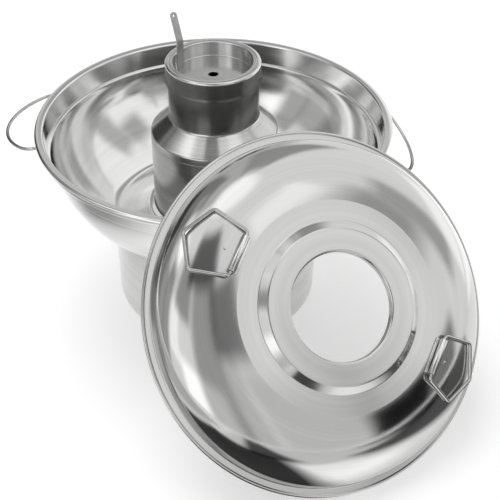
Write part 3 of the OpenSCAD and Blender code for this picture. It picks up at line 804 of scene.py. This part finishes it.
def strap_handle():
    """Flat bar that stands in the cup and leans out above the chimney."""
    solid = strap_blank()
    for v in solid.verts:
        out, up = bent_up(v.co.x)
        v.co = (out * MM, v.co.y * MM, up * MM)
    mesh = bpy.data.meshes.new("damper_handle")
    solid.to_mesh(mesh)
    solid.free()
    mesh.shade_smooth()
    obj = bpy.data.objects.new("damper_handle", mesh)
    bpy.context.scene.collection.objects.link(obj)
    thick = obj.modifiers.new("thick", "SOLIDIFY")
    thick.thickness = STRAP_T * MM
    thick.offset = 0
    edge = obj.modifiers.new("edge", "BEVEL")
    edge.width = 0.35 * MM
    edge.segments = 3
    edge.limit_method = "ANGLE"
    edge.angle_limit = math.radians(50)
    depsgraph = bpy.context.evaluated_depsgraph_get()
    made = bpy.data.meshes.new_from_object(obj.evaluated_get(depsgraph), depsgraph=depsgraph)
    bpy.data.objects.remove(obj)
    return piece("damper_handle", made, strap_place(), STRAP_STEEL, "damper", ["damper_strap"])


strap_handle()


# Lid

LID_R, LID_SHEET, CURL_R = 149.2, 1.0, 0.95
DOME_FOOT_R, DOME_FOOT_H, DOME_H = 141.2, 8.0, 40.0
PLATEAU_R, STEP_FOOT_R, STEP_HEAD_R, HOLE_R = 85.0, 68.3, 61.6, 42.7
DOME_MID_R = 60.0
DOME_WIDE = DOME_FOOT_R - 1.5 - DOME_MID_R
DOME_RISE = (DOME_H - DOME_FOOT_H) / math.sqrt(1 - ((PLATEAU_R - DOME_MID_R) / DOME_WIDE) ** 2)
STEP_Z, HEAD_Z = DOME_H + 0.6, DOME_H + 5.4


def dome_at(r):
    """Height of the dome's sheet at this radius."""
    return DOME_FOOT_H + DOME_RISE * math.sqrt(max(0.0, 1 - ((r - DOME_MID_R) / DOME_WIDE) ** 2))


def lid_line():
    """Middle line of the lid's sheet: curled edge, flange, dome, two plateaus and the turned hole."""
    curl_r = LID_R - CURL_R - 0.5
    curl = [np.array([curl_r + CURL_R * math.cos(a), 0.5 + CURL_R * math.sin(a)])
            for a in np.linspace(math.radians(200), math.radians(450), 16)]
    flange = rounded(
        [(curl_r, 0.5 + CURL_R), (LID_R - 2.6, 0.5), (DOME_FOOT_R, 0.5),
         (DOME_FOOT_R - 0.75, DOME_FOOT_H - 1)],
        [0.8, 1.4], 8,
    )[1:-1]
    angles = np.linspace(0, 90, 61)
    dome = [np.array([DOME_MID_R + DOME_WIDE * math.cos(math.radians(a)),
                      DOME_FOOT_H + DOME_RISE * math.sin(math.radians(a))]) for a in angles]
    dome = [q for q in dome if q[0] > PLATEAU_R + 1.0]
    top = rounded(
        [dome[-1], (PLATEAU_R, DOME_H), (STEP_FOOT_R, STEP_Z), (STEP_HEAD_R, HEAD_Z),
         (HOLE_R + 0.5, HEAD_Z), (HOLE_R + 0.5, HEAD_Z - 4.5)],
        [0.7, 1.8, 1.8, 1.6], 8,
    )[1:]
    return curl + flange + dome + top


spun("lid_spinning", supported(sheet(lid_line(), LID_SHEET)), LID, LID_STEEL,
     "lid", ["lid_shell"])


# Lid clips, welds and bails

CLIP_L, CLIP_MID_R, WIRE_R = 30.0, 92.5, 1.4
CLIP_ROLL_R, CLIP_SHEET, CLIP_SLOPE = 2.7, 0.8, 8.955
FLAP_END, FLAP_ROOT, FLAP_LOW = -4.9, -2.6, -3.05
WELD_OUT, WELD_R, WELD_FLATNESS = 10.0, 1.3, 0.27


def clip_frame(name):
    """Place of a clip: X outwards from the lid's middle, Y along the tube, Z out of the lid."""
    centre, y_axis = hinge_place(name)
    x_axis = y_axis.cross(lid_out).normalized()
    return centre, x_axis, y_axis


def tilted(centre, x_axis, y_axis, slope):
    """The clip's place with X turned down towards the lid by the slope, in degrees."""
    down = math.radians(slope)
    x = x_axis * math.cos(down) - lid_out * math.sin(down)
    z = lid_out * math.cos(down) + x_axis * math.sin(down)
    return column_place(centre, x, y_axis, z)


def rolled_clip(name, joint, node):
    """A strip that lies flat on the dome and rolls up round the bail's wire."""
    roll = [np.array([CLIP_ROLL_R * math.cos(a), CLIP_ROLL_R * math.sin(a)])
            for a in np.linspace(math.radians(-92), math.radians(215), 40)]
    flap = [np.array([FLAP_END, FLAP_LOW]), np.array([FLAP_ROOT, FLAP_LOW])]
    flap += [np.array([FLAP_ROOT + 2.5 * s, FLAP_LOW + 0.35 * s ** 2]) for s in (0.35, 0.7)]
    place = tilted(*clip_frame(joint), CLIP_SLOPE)
    outline = sheet(flap + roll, CLIP_SHEET)
    return pressed(name, outline, CLIP_L, place, CLIP_STEEL, "lid", [node], 0.2)


rolled_clip("clip_left", "lid_bail_left_swing", "lid_clip_left")
rolled_clip("clip_right", "lid_bail_right_swing", "lid_clip_right")


def bent_path(points, radii, steps=10):
    return [(float(x), float(y), 0.0) for x, y in rounded(points, radii, steps)]


LID_BAIL_HALF, LID_BAIL_CORNER, LID_BAIL_REACH, LID_BAIL_ROUND = 26.0, 31.0, 46.0, 4.0
LID_BAIL_SLOPE = 21.815


def lid_bail(name, joint, body, node):
    """House-shaped loop whose two ends meet inside the clip."""
    foot = CLIP_L / 2 + LID_BAIL_ROUND
    path = bent_path(
        [(0, -0.3), (0, -foot), (LID_BAIL_CORNER, -LID_BAIL_HALF), (LID_BAIL_REACH, 0),
         (LID_BAIL_CORNER, LID_BAIL_HALF), (0, foot), (0, 0.3)],
        [LID_BAIL_ROUND] * 5,
    )
    place = tilted(*clip_frame(joint), LID_BAIL_SLOPE)
    return wire(name, path, place, WIRE_R, WIRE_STEEL, body, [node])


lid_bail("bail_on_lid_left", "lid_bail_left_swing", "lid_left_bail", "lid_bail_left")
lid_bail("bail_on_lid_right", "lid_bail_right_swing", "lid_right_bail", "lid_bail_right")


def clip_welds():
    """Spot welds, one on the dome inside each bail."""
    points, away = [], []
    for joint in ("lid_bail_left_swing", "lid_bail_right_swing"):
        x_axis = clip_frame(joint)[1]
        radius = CLIP_MID_R + WELD_OUT
        slope = math.atan((dome_at(radius - 1) - dome_at(radius + 1)) / 2)
        foot = lid_middle + x_axis * radius * MM + lid_out * (dome_at(radius) + 0.5) * MM
        points.append(foot)
        away.append(lid_out * math.cos(slope) + x_axis * math.sin(slope))
    mesh = bpy.data.meshes.new("welds")
    mesh.from_pydata([tuple(p) for p in points], [], [])
    attribute = mesh.attributes.new("away", "FLOAT_VECTOR", "POINT")
    for item, value in zip(attribute.data, away):
        item.vector = value
    made = run_tree("clip_welds", mesh, WELDS, {
        "Weld radius": WELD_R * MM, "Flatness": WELD_FLATNESS, "Finish": LID_STEEL,
    })
    return piece("clip_welds", made, POT, LID_STEEL, "lid", ["lid_clip_welds"])


clip_welds()


# Bowl bails

BAIL_HALF, BAIL_REACH, BAIL_ROUND, EAR_IN = 48.5, 38.0, 4.0, 38.2
BAIL_DROOP = {"left": 9.0, "right": 42.0}


def bowl_bail(side):
    """Wide loop with a flat arch between two rounder shoulders, its ends turned in to the ears."""
    side_r = BAIL_REACH * 0.58
    rise = BAIL_REACH - BAIL_ROUND
    crown_r = (BAIL_HALF ** 2 + rise ** 2 - 2 * BAIL_HALF * side_r) / (2 * (rise - side_r))
    split = math.atan2(BAIL_HALF - side_r, crown_r - rise)
    knee = BAIL_ROUND + side_r * math.tan((math.pi / 2 - split) / 2)
    tip = BAIL_ROUND + rise - crown_r + crown_r / math.cos(split)
    pin = EAR_IN + WIRE_R
    radii = np.array([BAIL_ROUND, side_r, crown_r, side_r, BAIL_ROUND]) * 0.97
    half = [(0, -pin), (0, -BAIL_HALF), (knee, -BAIL_HALF)]
    other_half = [(x, -y) for x, y in half[::-1]]
    path = bent_path(half + [(tip, 0)] + other_half, list(radii), 24)
    node = f"{side}_bail"
    centre, y_axis = hinge_place(f"{side}_bail_swing")
    flat_x = y_axis.cross(Vector((0, 0, 1))).normalized()
    droop = math.radians(BAIL_DROOP[side])
    x = flat_x * math.cos(droop) - Vector((0, 0, 1)) * math.sin(droop)
    z = Vector((0, 0, 1)) * math.cos(droop) + flat_x * math.sin(droop)
    place = column_place(centre, x, y_axis, z)
    return wire(f"bowl_bail_{side}", path, place, WIRE_R, WIRE_STEEL, node, [node])


bowl_bail("left")
bowl_bail("right")


# Finishes of the remaining nodes

def finish_node(node, material):
    obj = frame["nodes"][node]
    obj.data.materials.clear()
    obj.data.materials.append(material)


for node, material in {
    "bowl": BOWL_STEEL, "firebox": FIREBOX_STEEL, "chimney": FIREBOX_STEEL,
    "firebox_collar": BOWL_STEEL, "stand_drum": STAND_STEEL,
    "fire_grate": GRATE_STEEL, "grate_lugs": GRATE_STEEL, "door_rails": STAND_STEEL, "air_door": DOOR_STEEL,
    "door_knob": DOOR_STEEL, "left_ears": WIRE_STEEL, "right_ears": WIRE_STEEL, "left_bail": WIRE_STEEL,
    "right_bail": WIRE_STEEL, "damper_cap": DAMPER_STEEL, "damper_strap": STRAP_STEEL, "lid_shell": LID_STEEL,
    "lid_clip_left": CLIP_STEEL, "lid_clip_right": CLIP_STEEL, "lid_clip_welds": LID_STEEL,
    "lid_bail_left": WIRE_STEEL, "lid_bail_right": WIRE_STEEL,
}.items():
    finish_node(node, material)


# Floor, studio and light

FLOOR_GLOW = 0.42
TENT_R = 2.6
# Cards that lie on the floor, for the metal only: strength, from and to X, from and to Y, softness, in metres
FLOOR_CARDS = [
    (0.55, -1.30, -0.17, -0.85, 0.04, 0.1),
    (0.55, -0.45, -0.24, -0.25, -0.03, 0.05),
    (0.05, -0.14, 0.09, -0.51, -0.26, 0.04),
    (0.10, -0.01, 0.14, -1.30, -0.47, 0.04),
    (1.80, 0.09, 0.21, -0.42, -0.29, 0.04),
    (0.75, -0.11, 0.68, -1.30, -0.35, 0.06),
    (0.10, 0.26, 1.20, -0.49, -0.16, 0.05),
    (0.05, 0.51, 1.20, -0.77, -0.38, 0.08),
    (1.85, 0.31, 1.57, 0.08, 0.97, 0.1),
]
# Panels of the tent: strength, from and to azimuth, from and to height, softness, in degrees
STUDIO_PANELS = [
    (1.45, -220, 220, 79, 95, 4),
    (0.60, -220, -95, -20, 80, 8),
    (0.45, -113, -75, -20, 38, 8),
    (0.10, -149, -115, -8, 33, 8),
    (0.40, 146, 220, 34, 75, 8),
    (0.45, -77, -58, -20, 48, 5),
    (0.85, -118, -45, 38, 51, 4),
    (1.65, -130, -60, 51, 62, 5),
    (1.60, -37, 1, -20, 21, 6),
    (0.40, -47, -20, 39, 60, 5),
    (0.15, -30, 12, 53, 71, 5),
    (0.25, 5, 29, 34, 53, 5),
    (0.55, 48, 50, 22, 36, 4),
    (0.45, -17, 9, -20, 56, 6),
    (0.70, 10, 17, -20, 38, 4),
    (0.75, 19, 55, -20, 31, 5),
    (0.05, 46, 64, -20, 15, 4),
    (0.25, 48, 78, -20, 14, 4),
    (1.35, 41, 80, 54, 65, 5),
    (0.45, 67, 88, 30, 49, 8),
    (0.50, 88, 104, 14, 44, 6),
    (1.35, 102, 135, -20, 18, 6),
    (1.35, -54, -38, 14, 42, 4),
    (0.45, -152, -108, 33, 66, 6),
    (0.60, 172, 220, -20, 34, 8),
    (0.65, -220, -172, 34, 75, 8),
]


def background_mask(tree):
    """1 for rays that see the plain background: camera, glossy and transmission."""
    rays = tree.nodes.new("ShaderNodeLightPath")
    seen = math_node(tree, "MAXIMUM", rays.outputs["Is Camera Ray"], rays.outputs["Is Glossy Ray"])
    return math_node(tree, "MAXIMUM", seen, rays.outputs["Is Transmission Ray"])


def panel_light(tree, across, upward, panels):
    """Brightness of soft-edged panels, each between two pairs of limits; they multiply where they overlap."""
    light = None
    for strength, west, east, bottom, top, soft in panels:
        side = placed_group(tree, WINDOW, {"Value": across, "From": west, "To": east, "Softness": soft})
        rise = placed_group(tree, WINDOW, {"Value": upward, "From": bottom, "To": top, "Softness": soft})
        inside = math_node(tree, "MULTIPLY", side.outputs[0], rise.outputs[0])
        panel = math_node(tree, "ADD", math_node(tree, "MULTIPLY", inside, strength - 1.0), 1.0)
        light = panel if light is None else math_node(tree, "MULTIPLY", light, panel)
    return light


def floor_piece():
    """Pale table top. The metal sees it with cards lying on it, which the camera doesn't."""
    mesh = bpy.data.meshes.new("floor")
    mesh.from_pydata([(-4, -4, 0), (4, -4, 0), (4, 4, 0), (-4, 4, 0)], [], [(0, 1, 2, 3)])
    material, tree = new_material("Pale floor")
    shader = tree.nodes["Principled BSDF"]
    shader.inputs["Roughness"].default_value = 0.9
    shader.inputs["Specular IOR Level"].default_value = 0.0
    shader.inputs["Emission Color"].default_value = (1, 1, 1, 1)
    rays = tree.nodes.new("ShaderNodeLightPath")
    seen = math_node(tree, "MAXIMUM", rays.outputs["Is Camera Ray"], rays.outputs["Is Transmission Ray"])
    parts = tree.nodes.new("ShaderNodeSeparateXYZ")
    tree.links.new(tree.nodes.new("ShaderNodeTexCoord").outputs["Object"], parts.inputs[0])
    cards = panel_light(tree, parts.outputs["X"], parts.outputs["Y"], FLOOR_CARDS)
    mirrored = rays.outputs["Is Glossy Ray"]
    glow = math_node(tree, "MAXIMUM", seen, math_node(tree, "MULTIPLY", mirrored, cards))
    tree.links.new(math_node(tree, "MULTIPLY", glow, FLOOR_GLOW), shader.inputs["Emission Strength"])
    # Under a dark card the tabletop itself is dark too
    covered = math_node(tree, "SUBTRACT", 1.0, math_node(tree, "MINIMUM", cards, 1.0))
    pale = math_node(tree, "SUBTRACT", 1.0, math_node(tree, "MULTIPLY", mirrored, covered))
    colour = tree.nodes.new("ShaderNodeCombineColor")
    for channel in colour.inputs[:3]:
        tree.links.new(math_node(tree, "MULTIPLY", pale, 0.8), channel)
    tree.links.new(colour.outputs[0], shader.inputs["Base Color"])
    mesh.materials.append(material)
    obj = bpy.data.objects.new("floor", mesh)
    bpy.context.scene.collection.objects.link(obj)


def studio_dome():
    """White tent with bright panels and black cards, which only the metal sees."""
    solid = bmesh.new()
    turns, heights = np.radians(np.linspace(0, 360, 73)), np.radians(np.linspace(-1, 89.8, 27))
    rows = [[solid.verts.new((TENT_R * math.cos(a) * math.cos(e), TENT_R * math.sin(a) * math.cos(e),
                              TENT_R * math.sin(e))) for a in turns[:-1]] for e in heights]
    for low, high in zip(rows, rows[1:]):
        for i in range(len(low)):
            j = (i + 1) % len(low)
            solid.faces.new((low[i], high[i], high[j], low[j]))
    mesh = bpy.data.meshes.new("studio_dome")
    solid.to_mesh(mesh)
    solid.free()
    material, tree = new_material("Studio tent")
    tree.nodes.clear()
    position = tree.nodes.new("ShaderNodeTexCoord").outputs["Object"]
    parts = tree.nodes.new("ShaderNodeSeparateXYZ")
    tree.links.new(position, parts.inputs[0])
    # The azimuth runs from the front, to the right positive
    towards_front = math_node(tree, "MULTIPLY", parts.outputs["Y"], -1.0)
    azimuth = math_node(tree, "DEGREES", math_node(tree, "ARCTAN2", parts.outputs["X"], towards_front))
    rise = math_node(tree, "DIVIDE", parts.outputs["Z"], TENT_R)
    height = math_node(tree, "DEGREES", math_node(tree, "ARCSINE", rise))
    light = panel_light(tree, azimuth, height, STUDIO_PANELS)
    lamp = tree.nodes.new("ShaderNodeEmission")
    tree.links.new(light, lamp.inputs["Strength"])
    output = tree.nodes.new("ShaderNodeOutputMaterial")
    tree.links.new(lamp.outputs[0], output.inputs["Surface"])
    mesh.materials.append(material)
    obj = bpy.data.objects.new("studio_dome", mesh)
    bpy.context.scene.collection.objects.link(obj)
    obj.visible_camera = False
    obj.visible_diffuse = False
    obj.visible_transmission = False
    obj.visible_volume_scatter = False
    obj.visible_shadow = False


def studio_world():
    world = bpy.data.worlds.new("Studio")
    bpy.context.scene.world = world
    world.use_nodes = True
    tree = world.node_tree
    back = tree.nodes["Background"]
    back.inputs["Color"].default_value = (1, 1, 1, 1)
    tree.links.new(math_node(tree, "ADD", math_node(tree, "MULTIPLY", background_mask(tree), 0.45), 0.55),
                   back.inputs["Strength"])


def soft_lamp(name, place, target, size, power):
    light = bpy.data.lights.new(name, "AREA")
    light.shape = "DISK"
    light.size = size
    light.energy = power
    obj = bpy.data.objects.new(name, light)
    obj.location = place
    obj.rotation_euler = (Vector(target) - Vector(place)).to_track_quat("-Z", "Y").to_euler()
    obj.visible_glossy = False
    bpy.context.scene.collection.objects.link(obj)


floor_piece()
studio_dome()
studio_world()
soft_lamp("overhead_lamp", (-0.4, 0.3, 1.8), (0, 0, 0.1), 1.4, 14)


# Camera

FOCAL_PIXELS, FRAME_PIXELS, SENSOR_MM = 1104, 500, 36


def photo_camera():
    yaw, pitch, roll = math.radians(2.17), math.radians(37.63), math.radians(0.15)
    forward = Vector((math.sin(yaw) * math.cos(pitch), math.cos(yaw) * math.cos(pitch), -math.sin(pitch)))
    right = Vector((math.cos(yaw), -math.sin(yaw), 0))
    up = right.cross(forward)
    right, up = right * math.cos(roll) + up * math.sin(roll), up * math.cos(roll) - right * math.sin(roll)
    data = bpy.data.cameras.new("photo_camera")
    data.sensor_width = SENSOR_MM
    data.lens = FOCAL_PIXELS / FRAME_PIXELS * SENSOR_MM
    data.clip_start = 0.05
    obj = bpy.data.objects.new("photo_camera", data)
    bpy.context.scene.collection.objects.link(obj)
    obj.matrix_world = column_place(Vector((0, -0.855, 0.699)), right, up, -forward)
    bpy.context.scene.camera = obj


photo_camera()
bpy.context.scene.view_settings.view_transform = "Standard"
